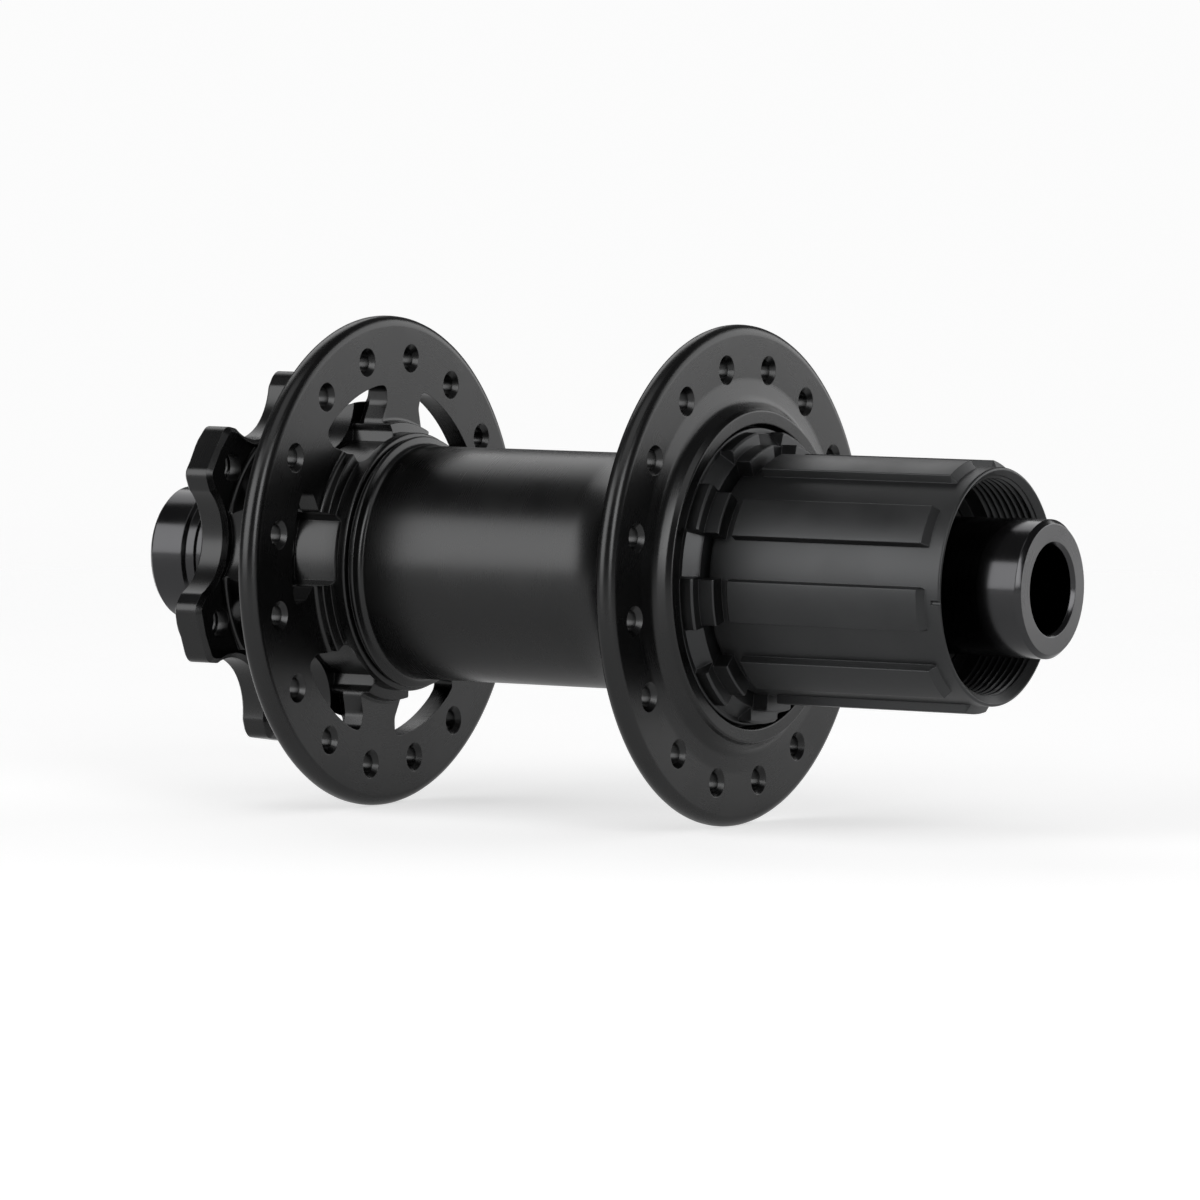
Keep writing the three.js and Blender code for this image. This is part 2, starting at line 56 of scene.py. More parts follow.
END_ROOM = 0.1  # and axial room


# ---- What the frame measures ------------------------------------------------------------------


class Extent:
    """Radii about the hub axis and the ends along it of one CAD node, in millimetres."""

    def __init__(self, node):
        points = [v.co / MM for v in frame["nodes"][node].data.vertices]
        radii = [math.hypot(p.x, p.z) for p in points]
        self.inner, self.outer = min(radii), max(radii)
        self.low, self.high = min(p.y for p in points), max(p.y for p in points)
        self.middle = (self.low + self.high) / 2


SHELL = Extent("hub_shell")
HUB = Extent("freehub_body")
COVER = Extent("left_dust_cover")
CAP_LEFT = Extent("end_cap_left")
CAP_RIGHT = Extent("end_cap_right")
LIP = Extent("freehub_lip_seal")
CIRCLIP = Extent("bearing_circlip")
END_SEAL = Extent("freehub_end_seal")
DRIVE_RING = Extent("drive_ring")
BEARINGS = {
    name: (Extent(f"{name}_inner_race"), Extent(f"{name}_outer_race"))
    for name in (
        "shell_bearing_right",
        "shell_bearing_left",
        "freehub_bearing_inner",
        "freehub_bearing_outer",
    )
}

# ---- Sizes that the frame doesn't hold ----------------------------------------------------------

BOSS_FACE = SHELL.low
SPIGOT_FACE = SHELL.high
FLANGE_R = SHELL.outer
DRIVE_FLANGE = (BOSS_FACE + 2.5, BOSS_FACE + 5.6)  # y of its faces
DISC_FLANGE = (SPIGOT_FACE - 21.2, SPIGOT_FACE - 17.9)
COLLAR_START = DISC_FLANGE[0] - 5.3  # where the barrel steps up beside the disc flange
WINDOW_START = DISC_FLANGE[0] - 2.9  # the flange's windows run back into the collar to here
ROTOR_FACE = SPIGOT_FACE - 1.4
LUG_BACK = ROTOR_FACE - 4.4
SPOKES = 16
SPOKE_CIRCLE_R = 29
SPOKE_R = 1.4
DRIVE_SPOKE_ANGLE = 9
DISC_SPOKE_ANGLE = 12.25
LUGS = 6
LUG_ANGLE = 22
LUG_TIP = 26.25
BOLT_CIRCLE_R = 22
BOLT_DRILL_R = 2.1
BOLT_THREAD = {"major": 2.45, "minor": 2.0, "pitch": 0.8}
BARREL_R = 16.5
WINDOW_R = 25.2
WINDOW_FLOOR_R = 17.2
SCALLOP_FLOOR_R = 19.2  # between the lugs
VALLEY_FLOOR_R = 17.6  # between the arms behind them

SPLINES = 9
SPLINE_ANGLE = 27.8
KEY_SPLINE = 7
SPLINE_R = 17.45
SPLINE_ROOT_R = 16.3
SPLINE_TOP_HALF = 9.6  # degrees, half a ridge at its top
SPLINE_FOOT_HALF = 10.7  # and where its flanks meet the root
SPLINE_START = -29.9
SPLINE_END = -59.6
THREAD_R = 15.3
THREAD_PITCH = 1.0
THREAD_START = -54.0
SEAL_SEAT_END = -52.4
HUB_BORE_R = 10.4
BASE_INNER = -22.6  # the castellated base of the splines: its inner face
BASE_FLOOR = -24.25
BASE_OUTER = -26.6

PAWLS = 3
PAWL_ANGLE = 90
PAWL_PIVOT_R = 14.2
PAWL_POCKET = (-19.9, -15.1)
POCKET_FLOOR_R = 12.3
AXLE_SEAT_R = 7.58
BALLS = 10
SHELL_BALL = {"radius": 1.75, "wall": 1.85}  # the wall is a race's thickness
FREEHUB_BALL = {"radius": 1.25, "wall": 1.4}


# ---- Outlines -----------------------------------------------------------------------------------


def polar(radius, degrees):
    return radius * math.cos(math.radians(degrees)), radius * math.sin(math.radians(degrees))


def rounded(corners, step=12):
    """A closed outline from (a, b) or (a, b, radius) corners: each radius becomes an arc."""
    outline = []
    for i, corner in enumerate(corners):
        here = Vector(corner[:2])
        radius = corner[2] if len(corner) > 2 else 0
        back = Vector(corners[i - 1][:2]) - here
        ahead = Vector(corners[(i + 1) % len(corners)][:2]) - here
        if radius and back.length and ahead.length:
            bend = back.angle(ahead)
            turn = math.pi - bend
            reach = radius * math.tan(turn / 2)
            reach = min(reach, 0.48 * back.length, 0.48 * ahead.length)
            if turn > 0.02 and reach > 1e-4:
                radius = reach / math.tan(turn / 2)
                inward = back.normalized() + ahead.normalized()
                centre = here + inward.normalized() * (radius / math.sin(bend / 2))
                start = here + back.normalized() * reach - centre
                sign = 1 if start.cross(here - centre) > 0 else -1
                steps = max(2, round(math.degrees(turn) / step))
                for k in range(steps + 1):
                    arm = start.copy()
                    arm.rotate(Matrix.Rotation(sign * turn * k / steps, 2))
                    outline.append(tuple(centre + arm))
                continue
        outline.append(tuple(here))
    return outline


def grown(outline, distance, beyond=0.0):
    """The outline moved outwards by a distance, easing in past the radius called beyond."""
    area = sum(a[0] * b[1] - b[0] * a[1] for a, b in zip(outline, outline[1:] + outline[:1]))
    sign = 1 if area > 0 else -1
    moved = []
    for i, (x, z) in enumerate(outline):
        before, after = outline[i - 1], outline[(i + 1) % len(outline)]
        along = Vector((after[0] - before[0], after[1] - before[1])).normalized()
        share = min(1, max(0, (math.hypot(x, z) - beyond) / 1.0)) if beyond else 1
        moved.append((x + sign * along.y * distance * share, z - sign * along.x * distance * share))
    return moved


def bounded(outline, least, most):
    """The outline with every point moved in or out to lie between two radii."""
    moved = []
    for x, z in outline:
        radius = math.hypot(x, z)
        scale = min(most, max(least, radius)) / radius
        moved.append((x * scale, z * scale))
    return moved


def turned_to(outline, degrees):
    """The outline turned so that its +Z stands at an angle."""
    c, s = math.cos(math.radians(degrees - 90)), math.sin(math.radians(degrees - 90))
    return [(x * c - z * s, x * s + z * c) for x, z in outline]


# ---- Solids -------------------------------------------------------------------------------------


class Solid:
    """Vertices in millimetres and faces, gathered from several closed shells."""

    def __init__(self):
        self.points, self.faces = [], []

    def loft(self, rings, closed=False):
        """Skins rings of equally many points. Open lofts are capped, closed ones meet themselves."""
        first, count = len(self.points), len(rings[0])
        assert all(len(ring) == count for ring in rings)
        for ring in rings:
            self.points.extend(ring)
        spans = len(rings) if closed else len(rings) - 1
        for i in range(spans):
            a, b = first + i * count, first + (i + 1) % len(rings) * count
            for j in range(count):
                k = (j + 1) % count
                self.faces.append((a + j, a + k, b + k, b + j))
        if not closed:
            self.faces.append(tuple(range(first, first + count)))
            last = first + (len(rings) - 1) * count
            self.faces.append(tuple(range(last, last + count)))
        return self

    def lathe(self, outline, facets=FINE, at=(0, 0), phase=0.5):
        """Turns a closed (radius, y) outline about Y, or about a parallel axis."""
        rings = []
        for i in range(facets):
            turn = math.tau * (i + phase) / facets
            c, s = math.cos(turn), math.sin(turn)
            rings.append([(at[0] + r * c, y, at[1] + r * s) for r, y in outline])
        return self.loft(rings, closed=True)

    def prism(self, sections):
        """Skins (y, outline) sections, each outline in x and z."""
        return self.loft([[(x, y, z) for x, z in outline] for y, outline in sections])

    def thread_cutter(self, major, minor, pitch, low, high, at=(0, 0), facets=MEDIUM, steps=6):
        """A rod with a screw thread, for cutting an internal one."""
        rings = []
        count = round((high - low) / pitch * steps)
        for i in range(count + 1):
            y = low + (high - low) * i / count
            ring = []
            for j in range(facets):
                turn = math.tau * j / facets
                phase = (y / pitch + j / facets) % 1
                depth = max(0, 1 - 2.6 * abs(phase - 0.5))
                r = minor + (major - minor) * depth
                ring.append((at[0] + r * math.cos(turn), y, at[1] + r * math.sin(turn)))
            rings.append(ring)
        return self.loft(rings)

    def object(self, name):
        mesh = bpy.data.meshes.new(name)
        mesh.from_pydata([(x * MM, y * MM, z * MM) for x, y, z in self.points], [], self.faces)
        build = bmesh.new()
        build.from_mesh(mesh)
        bmesh.ops.remove_doubles(build, verts=build.verts, dist=1e-8)
        bmesh.ops.recalc_face_normals(build, faces=build.faces)
        build.to_mesh(mesh)
        build.free()
        made = bpy.data.objects.new(name, mesh)
        bpy.context.scene.collection.objects.link(made)
        return made


def around(count, first, make):
    return [make(first + 360 / count * i) for i in range(count)]


def evaluated_copy(obj):
    graph = bpy.context.evaluated_depsgraph_get()
    return bpy.data.meshes.new_from_object(obj.evaluated_get(graph))


def combine(obj, others, operation):
    """Joins or cuts other solids, one boolean each, and keeps the result as the object's mesh."""
    for other in others:
        step = obj.modifiers.new("step", "BOOLEAN")
        step.operation, step.solver, step.object = operation, "MANIFOLD", other
    mesh = evaluated_copy(obj)
    obj.modifiers.clear()
    obj.data = mesh
    for other in others:
        bpy.data.objects.remove(other)
    return obj


def cut(obj, *others):
    return combine(obj, others, "DIFFERENCE")


def join(obj, *others):
    return combine(obj, others, "UNION")


def smooth(obj, limit=SHARP_EDGE):
    """Smooth shading with crisp edges, weighted by face area so that flats stay flat."""
    build = bmesh.new()
    build.from_mesh(obj.data)
    bmesh.ops.dissolve_degenerate(build, edges=build.edges, dist=1e-7)
    for face in build.faces:
        face.smooth = True
    for edge in build.edges:
        edge.smooth = len(edge.link_faces) == 2 and edge.calc_face_angle(0) < math.radians(limit)
    build.to_mesh(obj.data)
    build.free()
    weighted = obj.modifiers.new("weighted", "WEIGHTED_NORMAL")
    weighted.keep_sharp = True


def piece(obj, body, nodes, material):
    """Hands one finished mesh over: its shading, its body, what it stands for and its finish."""
    smooth(obj)
    obj.data.materials.clear()
    obj.data.materials.append(material)
    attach(obj, body)
    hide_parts(*nodes)
    return obj


# ---- Materials ----------------------------------------------------------------------------------


class Nodes:
    """Short calls for building one material's node tree."""

    def __init__(self, name):
        self.material = bpy.data.materials.new(name)
        self.material.use_nodes = True
        self.tree = self.material.node_tree
        self.tree.nodes.clear()
        self.output = self.add("OutputMaterial")
        self.shader = self.add("BsdfPrincipled")
        self.wire(self.shader.outputs[0], self.output.inputs["Surface"])
        self.place = self.add("TexCoord").outputs["Object"]

    def add(self, kind, **settings):
        node = self.tree.nodes.new("ShaderNode" + kind)
        for key, value in settings.items():
            setattr(node, key, value)
        return node

    def wire(self, source, target):
        self.tree.links.new(source, target)

    def math(self, operation, a, b=0.0, c=0.0):
        node = self.add("Math", operation=operation)
        for socket, value in zip(node.inputs, (a, b, c)):
            if isinstance(value, (int, float)):
                socket.default_value = value
            else:
                self.wire(value, socket)
        return node.outputs[0]

    def turning(self):
        """Coordinates that are alike all round the hub axis: (radius, along, 0) in metres."""
        parts = self.add("SeparateXYZ")
        self.wire(self.place, parts.inputs[0])
        square = self.math("MULTIPLY", parts.outputs["X"], parts.outputs["X"])
        both = self.math("MULTIPLY_ADD", parts.outputs["Z"], parts.outputs["Z"], square)
        joined = self.add("CombineXYZ")
        self.wire(self.math("SQRT", both), joined.inputs["X"])
        self.wire(parts.outputs["Y"], joined.inputs["Y"])
        return joined.outputs[0]

    def noise(self, where, size_mm, detail=2.0, roughness=0.5):
        node = self.add("TexNoise")
        self.wire(where, node.inputs["Vector"])
        node.inputs["Scale"].default_value = 1 / (size_mm * MM)
        node.inputs["Detail"].default_value = detail
        node.inputs["Roughness"].default_value = roughness
        return node.outputs["Fac"]

    def spread(self, source, low, high):
        node = self.add("MapRange")
        self.wire(source, node.inputs["Value"])
        node.inputs["From Min"].default_value = 0.3
        node.inputs["From Max"].default_value = 0.7
        node.inputs["To Min"].default_value = low
        node.inputs["To Max"].default_value = high
        return node.outputs[0]

    def mixed(self, share, dark, light):
        node = self.add("Mix", data_type="RGBA")
        self.wire(share, node.inputs["Factor"])
        node.inputs["A"].default_value = (*dark, 1)
        node.inputs["B"].default_value = (*light, 1)
        return node.outputs["Result"]

    def bumps(self, layers, edge_mm):
        """Heights in millimetres, laid on softly rounded edges."""
        edge = self.add("Bevel", samples=4)
        edge.inputs["Radius"].default_value = edge_mm * MM
        normal = edge.outputs[0]
        for height, depth_mm in layers:
            bump = self.add("Bump")
            bump.inputs["Strength"].default_value = 1.0
            bump.inputs["Distance"].default_value = depth_mm * MM
            self.wire(height, bump.inputs["Height"])
            self.wire(normal, bump.inputs["Normal"])
            normal = bump.outputs[0]
        self.wire(normal, self.shader.inputs["Normal"])

    def set(self, **values):
        for key, value in values.items():
            self.shader.inputs[key.replace("_", " ").title()].default_value = value


def turned_metal(name, dark, light, rough, metallic, mark_mm=0.16, mark_depth=0.0006, anisotropy=0.35):
    """Metal off a lathe: fine rings from the tool, a faint mottle and a hardly uneven gloss."""
    n = Nodes(name)
    rings = n.noise(n.turning(), mark_mm, detail=3, roughness=0.6)
    mottle = n.noise(n.place, 9, detail=4)
    grain = n.noise(n.place, 0.12, detail=2)
    n.wire(n.mixed(mottle, dark, light), n.shader.inputs["Base Color"])
    uneven = n.math("MULTIPLY_ADD", rings, 0.25, n.math("MULTIPLY", mottle, 0.75))
    n.wire(n.spread(uneven, rough[0], rough[1]), n.shader.inputs["Roughness"])
    n.set(metallic=metallic, anisotropic=anisotropy)
    tangent = n.add("Tangent", direction_type="RADIAL", axis="Y")
    n.wire(tangent.outputs[0], n.shader.inputs["Tangent"])
    n.bumps([(rings, mark_depth), (grain, mark_depth * 0.15)], 0.12)
    return n.material


def blasted_metal(name, dark, light, rough, metallic):
    """Anodised over a fine bead blast: an even satin with a close grain."""
    n = Nodes(name)
    grain = n.noise(n.place, 0.22, detail=3, roughness=0.7)
    mottle = n.noise(n.place, 7, detail=4)
    n.wire(n.mixed(mottle, dark, light), n.shader.inputs["Base Color"])
    n.wire(n.spread(mottle, rough[0], rough[1]), n.shader.inputs["Roughness"])
    n.set(metallic=metallic)
    n.bumps([(grain, 0.0022)], 0.14)
    return n.material


def ground_steel(name, dark, light, rough):
    n = Nodes(name)
    rings = n.noise(n.turning(), 0.09, detail=3, roughness=0.7)
    smear = n.noise(n.place, 4, detail=5)
    n.wire(n.mixed(smear, dark, light), n.shader.inputs["Base Color"])
    n.wire(n.spread(rings, rough[0], rough[1]), n.shader.inputs["Roughness"])
    n.set(metallic=1.0, anisotropic=0.5)
    n.wire(n.add("Tangent", direction_type="RADIAL", axis="Y").outputs[0], n.shader.inputs["Tangent"])
    n.bumps([(rings, 0.0008)], 0.08)
    return n.material


def moulded(name, dark, light, rough, grain_mm, depth_mm):
    """Rubber or nylon from a mould: matt, with a soft fine skin."""
    n = Nodes(name)
    grain = n.noise(n.place, grain_mm, detail=4, roughness=0.6)
    mottle = n.noise(n.place, 5, detail=3)
    n.wire(n.mixed(mottle, dark, light), n.shader.inputs["Base Color"])
    n.wire(n.spread(grain, rough[0], rough[1]), n.shader.inputs["Roughness"])
    n.set(metallic=0.0)
    n.bumps([(grain, depth_mm)], 0.1)
    return n.material


GLOSS = turned_metal(
    "gloss_black_anodising", (0.041, 0.0412, 0.0415), (0.051, 0.0512, 0.0515), (0.24, 0.31), 1.0
)
CAP_GLOSS = turned_metal(
    "polished_black_anodising", (0.052, 0.052, 0.054), (0.060, 0.060, 0.062), (0.14, 0.20), 1.0
)
# The caps' black anodising with about twice the base colour, used only on the dropout faces: a painted
# highlight standing in for the light these faces catch.
CAP_FACE_PAINTED_HIGHLIGHT = turned_metal(
    "black_anodising_painted_highlight", (0.105, 0.105, 0.107), (0.125, 0.125, 0.127), (0.24, 0.32), 1.0
)
SATIN = blasted_metal(
    "satin_black_anodising", (0.050, 0.051, 0.052), (0.066, 0.067, 0.068), (0.37, 0.45), 1.0
)
STEEL = ground_steel("ground_bearing_steel", (0.50, 0.51, 0.52), (0.62, 0.63, 0.64), (0.16, 0.30))
HARD = ground_steel("hardened_steel", (0.20, 0.20, 0.205), (0.32, 0.32, 0.325), (0.28, 0.42))
SPRING = ground_steel("spring_steel", (0.30, 0.31, 0.33), (0.42, 0.42, 0.43), (0.22, 0.34))
NYLON = moulded("moulded_nylon", (0.52, 0.48, 0.38), (0.62, 0.58, 0.47), (0.45, 0.6), 0.5, 0.004)
RUBBER = moulded("seal_rubber", (0.010, 0.010, 0.010), (0.016, 0.016, 0.016), (0.55, 0.72), 0.3, 0.004)

SLOT_FINISH = {
    "gloss_anodised": GLOSS,
    "satin_anodised": SATIN,
    "bearing_steel": STEEL,
    "hard_steel": HARD,
    "spring_steel": SPRING,
    "nylon": NYLON,
    "rubber": RUBBER,
}

# ---- Hub shell ----------------------------------------------------------------------------------


def shell_blank():
    """The whole turned shape, before anything is drilled or milled into it."""
    bearing_right = BEARINGS["shell_bearing_right"][1]
    bearing_left = BEARINGS["shell_bearing_left"][1]
    seat = bearing_right.outer + FIT
    bore = bearing_right.outer - 1.0
    ring = DRIVE_RING.outer + FIT
    drive_out, drive_in = DRIVE_FLANGE
    disc_in, disc_out = DISC_FLANGE
    bead = COLLAR_START
    corners = [
        (LIP.outer + FIT, BOSS_FACE, 0.2),
        (23.0, BOSS_FACE, 0.3),
        (23.25, BOSS_FACE + 0.9, 0.8),
        (24.5, drive_out - 0.3, 2.0),
        (27.2, drive_out, 6),
        (FLANGE_R, drive_out, 1.5),
        (FLANGE_R, drive_in, 1.5),
        (25.0, drive_in, 3.0),
        (BARREL_R, -8.6, 15),
        (BARREL_R, bead - 0.2, 1.5),
        (17.8, bead + 0.2, 0.3),
        (17.8, bead + 0.75, 0.25),
        (17.4, bead + 0.9, 0.1),
        (17.4, bead + 1.1, 0.1),
        (18.3, bead + 1.3, 0.35),
        (18.3, disc_in - 1.7, 0.1),
        (19.7, disc_in - 1.4, 0.25),
        (19.8, disc_in, 0.6),
        (FLANGE_R, disc_in, 1.5),
        (FLANGE_R, disc_out, 1.5),
        (22.9, disc_out, 2.6),
        (21.8, disc_out + 4.2, 6),
        (19.4, LUG_BACK, 0.6),
        (LUG_TIP + 0.4, LUG_BACK, 0),
        (LUG_TIP + 0.4, ROTOR_FACE, 0),
        (COVER.outer + 1.6, ROTOR_FACE, 0.2),
        (COVER.outer + 1.6, SPIGOT_FACE, 0.4),
        (COVER.outer + FIT, SPIGOT_FACE, 0.2),
        (COVER.outer + FIT, bearing_left.high + 0.2, 0),
        (seat, bearing_left.high + 0.2, 0),
        (seat, bearing_left.low - END_ROOM, 0.1),
        (bore, bearing_left.low - END_ROOM, 0.2),
        (bore, bearing_right.high + END_ROOM, 0.2),
        (seat, bearing_right.high + END_ROOM, 0.1),
        (seat, DRIVE_RING.high + END_ROOM, 0.1),
        (ring, DRIVE_RING.high + END_ROOM, 0.1),
        (ring, DRIVE_RING.low - END_ROOM, 0.1),
        (LIP.outer + FIT, DRIVE_RING.low - END_ROOM, 0.1),
    ]
    return Solid().lathe(rounded(corners)).object("hub_shell_turned")


def spoke_drill(faces, first):
    """Countersunk from both faces, so that a spoke's bend beds on no sharp edge."""
    low, high = faces
    sink = 0.65
    wide = SPOKE_R + sink + PAST
    outline = [
        (0, low - PAST),
        (wide, low - PAST),
        (SPOKE_R, low + sink),
        (SPOKE_R, high - sink),
        (wide, high + PAST),
        (0, high + PAST),
    ]
    cutter = Solid()
    around(SPOKES, first, lambda a: cutter.lathe(outline, 40, polar(SPOKE_CIRCLE_R, a)))
    return cutter.object("spoke_drill")


def bolt_tap():
    """Six M5 threads, plain where they break out behind the lugs."""
    plain, threads = Solid(), Solid()
    back, front, start = LUG_BACK - 0.5, ROTOR_FACE + PAST, LUG_BACK + 1.6
    drill = [(0, back), (BOLT_DRILL_R, back), (BOLT_DRILL_R, front), (0, front)]
    for angle in around(LUGS, LUG_ANGLE, float):
        at = polar(BOLT_CIRCLE_R, angle)
        plain.lathe(drill, 40, at)
        threads.thread_cutter(**BOLT_THREAD, low=start, high=front, at=at, facets=40)
    return [plain.object("bolt_drill"), threads.object("bolt_tap")]


def bolt_mouths():
    cutter = Solid()
    low, high = ROTOR_FACE - 0.7, ROTOR_FACE + PAST
    outline = [(0, low), (BOLT_DRILL_R, low), (BOLT_DRILL_R + high - low, high), (0, high)]
    around(LUGS, LUG_ANGLE, lambda a: cutter.lathe(outline, 40, polar(BOLT_CIRCLE_R, a)))
    return cutter.object("bolt_mouths")


def valley_frame(x, z):
    """A point measured from a lug's middle, seen from the middle of the valley beside it."""
    angle = 180 / LUGS - math.degrees(math.atan2(x, z))
    across, up = polar(math.hypot(x, z), 90 - angle)
    return across, up


def valley_outline(floor_r, shoulders):
    """Half-way between two lugs: an open scallop, with shoulders given as seen from a lug."""
    sx, sz = valley_frame(*shoulders[-1][:2])
    rise = sz - floor_r
    scallop_r = (sx * sx + rise * rise) / (2 * rise)
    sweep = math.asin(min(1, sx / scallop_r))
    centre_z = floor_r + scallop_r
    count = 20
    floor = []
    for i in range(1, count):
        a = sweep * (1 - 2 * i / count)
        floor.append((scallop_r * math.sin(a), centre_z - scallop_r * math.cos(a), 0))
    right = [(*valley_frame(x, z), r) for x, z, r in shoulders]
    left = [(-x, z, r) for x, z, r in reversed(right)]
    return rounded([*right, *floor, *left], step=8)


def lug_mill():
    """Cuts round the lugs, with a chamfer on both faces, and deeper between the arms behind them."""
    past_middle, corner = -0.3, (4.2, LUG_TIP, 1.9)
    outline = valley_outline(
        SCALLOP_FLOOR_R,
        [(past_middle, 34, 0), (past_middle, LUG_TIP, 0), corner, (5.4, 23.9, 1.5)],
    )
    arms = valley_outline(VALLEY_FLOOR_R, [(3.0, 30, 0), (5.4, 23.9, 1.5)])
    back_ease, face_ease = 0.65, 0.4
    plate = [
        (LUG_BACK - 0.05, grown(outline, back_ease)),
        (LUG_BACK + 0.02, grown(outline, back_ease)),
        (LUG_BACK + back_ease, outline),
        (ROTOR_FACE - face_ease, outline),
        (ROTOR_FACE + PAST, grown(outline, face_ease + PAST)),
    ]
    behind = [(DISC_FLANGE[1] + 0.25, arms), (LUG_BACK, arms)]
    cutters = []
    for angle in around(LUGS, LUG_ANGLE + 180 / LUGS, float):
        for sections in (plate, behind):
            cutter = Solid().prism([(y, turned_to(section, angle)) for y, section in sections])
            cutters.append(cutter.object("lug_mill"))
    return cutters


def window_outline():
    """The pocket through the flange: it leaves waisted arms, and its floor follows the collar."""
    side = [(4.4, 16.7, 0.3), (5.0, 18.0, 0.8), (5.1, 19.3, 1.6), (7.5, 21.2, 1.6), (8.3, 23.6, 1.5)]
    arc = 14.5
    roof = [(*polar(WINDOW_R, 90 - arc + 2 * arc * i / 12), 0) for i in range(13)]
    floor_half = math.degrees(math.asin(4.2 / WINDOW_FLOOR_R))
    floor = [
        (*polar(WINDOW_FLOOR_R, 90 + floor_half - 2 * floor_half * i / 8), 0) for i in range(9)
    ]
    corners = [*side[1:], *roof, *[(-x, z, r) for x, z, r in reversed(side[1:])], *floor]
    return rounded(corners, step=10)


def window_mill():
    outline = window_outline()
    nose = 1.4  # rounding of the cutter's end
    turns = (0, 0.3, 0.6, 0.95, 1.3)
    ends = [(nose * (1 - math.cos(a)), -nose * (1 - math.sin(a))) for a in turns]
    sections = [(WINDOW_START + depth, grown(outline, inset)) for depth, inset in ends]
    sections += [
        (WINDOW_START + nose, outline),
        (DISC_FLANGE[1] - 0.3, outline),
        (DISC_FLANGE[1] + 1.7, grown(outline, 2.0, 19.5)),
    ]
    cutters = []
    for angle in around(LUGS, LUG_ANGLE + 180 / LUGS, float):
        cutter = Solid().prism([(y, turned_to(section, angle)) for y, section in sections])
        cutters.append(cutter.object("window_mill"))
    return cutters


def hub_shell():
    body = shell_blank()
    cut(
        body,
        spoke_drill(DRIVE_FLANGE, DRIVE_SPOKE_ANGLE),
        spoke_drill(DISC_FLANGE, DISC_SPOKE_ANGLE),
        *lug_mill(),
        *window_mill(),
        *bolt_tap(),
        bolt_mouths(),
    )
    return piece(body, "shell", ["hub_shell"], GLOSS)


# ---- Freehub body -------------------------------------------------------------------------------


def splined(top_r, foot_r, top_half, foot_half, top_round=0.12, foot_round=0.25):
    """The section across nine ridges, one of them wider."""
    corners = []
    for i in range(SPLINES):
        middle = SPLINE_ANGLE + 360 / SPLINES * i
        wider = 2.5 if i == KEY_SPLINE else 0
        top, foot = top_half + wider, foot_half + wider
        corners.append((*polar(foot_r, middle - foot), foot_round))
        corners.append((*polar(top_r, middle - top), top_round))
        steps = 8
        for k in range(1, steps):
            corners.append((*polar(top_r, middle - top + 2 * top * k / steps), 0))
        corners.append((*polar(top_r, middle + top), top_round))
        corners.append((*polar(foot_r, middle + foot), foot_round))
        valley = 360 / SPLINES - foot * 2
        for k in range(1, steps):
            corners.append((*polar(foot_r, middle + foot + valley * k / steps), 0))
    return rounded(corners, step=30)


def freehub_core():
    inner_race = BEARINGS["freehub_bearing_inner"][1]
    seat = inner_race.outer + FIT
    carrier_r = DRIVE_RING.inner - 0.4
    base_r = HUB.outer + 0.35
    corners = [
        (HUB_BORE_R, HUB.high, 0.2),
        (carrier_r, HUB.high, 0.4),
        (carrier_r, BASE_INNER, 0.2),
        (base_r, BASE_INNER, 0.2),
        (base_r, BASE_FLOOR, 0.3),
        (SPLINE_ROOT_R - 0.6, BASE_FLOOR, 0.2),
        (SPLINE_ROOT_R - 0.6, BASE_OUTER, 0.1),
        (SPLINE_ROOT_R, BASE_OUTER, 0.15),
        (SPLINE_ROOT_R, HUB.low, 0.35),
        (THREAD_R - 0.75, HUB.low, 0.2),
        (THREAD_R - 0.75, THREAD_START + 0.2, 0.2),
        (14.2, SEAL_SEAT_END, 0.2),
        (END_SEAL.outer + FIT, SEAL_SEAT_END, 0.1),
        (END_SEAL.outer + FIT, CIRCLIP.low - END_ROOM, 0),
        (CIRCLIP.outer + FIT, CIRCLIP.low - END_ROOM, 0),
        (CIRCLIP.outer + FIT, CIRCLIP.high + END_ROOM, 0),
        (seat, CIRCLIP.high + END_ROOM, 0),
        (seat, inner_race.high + END_ROOM, 0),
        (HUB_BORE_R, inner_race.high + END_ROOM, 0.2),
    ]
    return Solid().lathe(rounded(corners)).object("freehub_body_machined")


def ridges():
    full = splined(SPLINE_R, SPLINE_ROOT_R - 0.3, SPLINE_TOP_HALF, SPLINE_FOOT_HALF, 0.16)
    eased = bounded(full, 0, SPLINE_R - 0.1)
    sections = [
        (SPLINE_START, eased),
        (SPLINE_START - 0.12, full),
        (SPLINE_END + 0.06, full),
        (SPLINE_END, eased),
        (SPLINE_END - 0.75, bounded(full, 0, SPLINE_ROOT_R - 0.05)),
    ]
    return Solid().prism(sections).object("spline_ridges")


def lobes():
    """The castellated root of the splines: high lobes, then a lower step in line with each ridge."""
    high = splined(HUB.outer, 18.2, 10.2, 11.2, 0.25, 0.3)
    step = splined(18.6, SPLINE_ROOT_R - 0.9, 10.0, 10.8, 0.2, 0.2)
    parts = (0, 0.25, 0.5, 0.75, 1)
    ramp = [(-24.0 - 1.95 * t, bounded(high, 20.0 - 1.7 * t, HUB.outer)) for t in parts]
    upper = Solid().prism([*ramp, (-26.2, bounded(high, 18.2, HUB.outer - 0.3))])
    lower = Solid().prism([(-25.9, step), (-28.35, step), (-28.5, bounded(step, 0, 18.4))])
    return [upper.object("lobes_high"), lower.object("lobes_low")]


